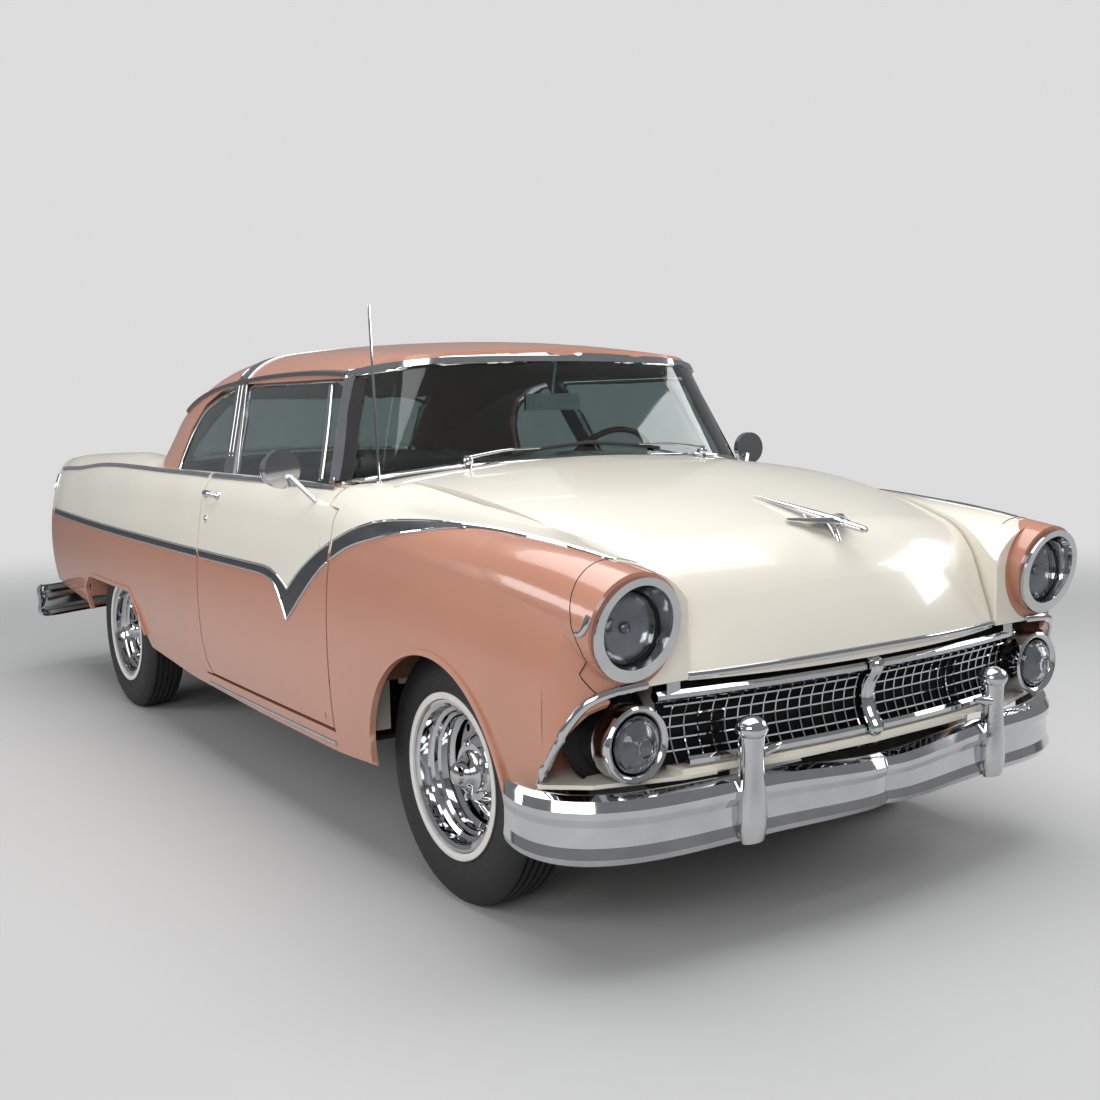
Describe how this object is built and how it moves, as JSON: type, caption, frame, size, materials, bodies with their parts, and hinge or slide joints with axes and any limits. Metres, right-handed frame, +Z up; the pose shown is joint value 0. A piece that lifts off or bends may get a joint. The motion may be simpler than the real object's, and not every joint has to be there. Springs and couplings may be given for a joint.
{
  "type": "two-door hardtop saloon car",
  "caption": "Mid-century two-door hardtop car with fin-topped quarters, chrome roof band, side spears, opening doors, hood and trunk, steered front wheels.",
  "frame": {"origin": "on the floor, at the bottom centre of the bounding box", "axes": "the nose faces -Y, +Z is up and +X is the car's own left-hand side"},
  "size_m": [2.0442, 5.0448, 1.6299],
  "materials": {
    "body_enamel": "gloss two-tone enamel, salmon and ivory",
    "frame_paint": "satin black",
    "chrome": "polished",
    "glass": "clear, lightly tinted",
    "lamp_glass": "fluted clear glass",
    "lamp_red": "translucent red",
    "upholstery": "woven cloth and vinyl",
    "tyre": "black with a thin white stripe",
    "iron": "painted casting",
    "steel": "bare or lightly rusted",
    "trim_plastic": "copper-brown moulded rim"
  },
  "bodies": {
    "body": {"antenna": "chrome", "cabin_mirror": "chrome", "chassis_frame": "frame_paint", "cowl": "body_enamel", "dashboard": "body_enamel", "drip_rails": "body_enamel", "engine_block": "iron", "exhaust_pipe": "steel", "floor_pan": "frame_paint", "front_apron": "body_enamel", "front_bumper": "chrome", "front_fender_left": "body_enamel", "front_fender_right": "body_enamel", "front_seat": "upholstery", "front_suspension": "steel", "fuel_tank": "steel", "grille": "chrome", "headlamp_lenses": "lamp_glass", "headlamp_rings": "chrome", "parking_lamps": "chrome", "quarter_glass": "glass", "quarter_panel_left": "body_enamel", "quarter_panel_right": "body_enamel", "radiator": "frame_paint", "rear_axle": "steel", "rear_bumper": "chrome", "rear_deck": "body_enamel", "rear_seat": "upholstery", "rear_window_glass": "glass", "rocker_left": "body_enamel", "rocker_right": "body_enamel", "roof_band": "chrome", "roof_panel": "body_enamel", "tail_lamp_lenses": "lamp_red", "tail_lamp_rings": "chrome", "tail_panel": "body_enamel", "windshield_frame": "chrome", "windshield_glass": "glass", "wipers": "chrome"},
    "hood": {"hood": "body_enamel", "hood_ornament": "chrome"},
    "trunk_lid": {"trunk_lid": "body_enamel"},
    "door_left": {"door_left": "body_enamel", "door_glass_left": "glass", "door_mirror_left": "chrome"},
    "door_right": {"door_right": "body_enamel", "door_glass_right": "glass", "door_mirror_right": "chrome"},
    "knuckle_left": {"knuckle_left": "steel"},
    "knuckle_right": {"knuckle_right": "steel"},
    "steering_wheel": {"steering_wheel": "trim_plastic"},
    "wheel_front_left": {"rim_front_left": "chrome", "tyre_front_left": "tyre"},
    "wheel_front_right": {"rim_front_right": "chrome", "tyre_front_right": "tyre"},
    "wheel_rear_left": {"rim_rear_left": "chrome", "tyre_rear_left": "tyre"},
    "wheel_rear_right": {"rim_rear_right": "chrome", "tyre_rear_right": "tyre"}
  },
  "joints": [
    {"name": "hood_hinge", "type": "hinge", "parent": "body", "child": "hood", "pos_m": [0, -1.235, 1.13014], "axis": [-1, 0, 0], "range_deg": [0, 55]},
    {"name": "trunk_hinge", "type": "hinge", "parent": "body", "child": "trunk_lid", "pos_m": [0, 1.06, 1.10592], "axis": [1, 0, 0], "range_deg": [0, 60]},
    {"name": "door_left_hinge", "type": "hinge", "parent": "body", "child": "door_left", "pos_m": [0.912, -1.128, 0.7], "axis": [0, 0, -1], "range_deg": [0, 65]},
    {"name": "door_right_hinge", "type": "hinge", "parent": "body", "child": "door_right", "pos_m": [-0.912, -1.128, 0.7], "axis": [0, 0, 1], "range_deg": [0, 65]},
    {"name": "steer_left", "type": "hinge", "parent": "body", "child": "knuckle_left", "pos_m": [0.636, -1.738, 0.348], "axis": [0, 0, 1], "range_deg": [-28, 28]},
    {"name": "steer_right", "type": "hinge", "parent": "body", "child": "knuckle_right", "pos_m": [-0.636, -1.738, 0.348], "axis": [0, 0, 1], "range_deg": [-28, 28]},
    {"name": "steering_wheel_turn", "type": "hinge", "parent": "body", "child": "steering_wheel", "pos_m": [0.38, -0.822, 1.04], "axis": [0, 0.9063, 0.4226], "range_deg": [-560, 560]},
    {"name": "wheel_front_left_spin", "type": "hinge", "parent": "knuckle_left", "child": "wheel_front_left", "pos_m": [0.757, -1.738, 0.348], "axis": [1, 0, 0], "continuous": true},
    {"name": "wheel_front_right_spin", "type": "hinge", "parent": "knuckle_right", "child": "wheel_front_right", "pos_m": [-0.757, -1.738, 0.348], "axis": [1, 0, 0], "continuous": true},
    {"name": "wheel_rear_left_spin", "type": "hinge", "parent": "body", "child": "wheel_rear_left", "pos_m": [0.742, 1.196, 0.348], "axis": [1, 0, 0], "continuous": true},
    {"name": "wheel_rear_right_spin", "type": "hinge", "parent": "body", "child": "wheel_rear_right", "pos_m": [-0.742, 1.196, 0.348], "axis": [1, 0, 0], "continuous": true}
  ],
  "couplings": [
    {"joint": "steer_right", "follows": "steer_left", "ratio": 1},
    {"joint": "steering_wheel_turn", "follows": "steer_left", "ratio": 20}
  ]
}
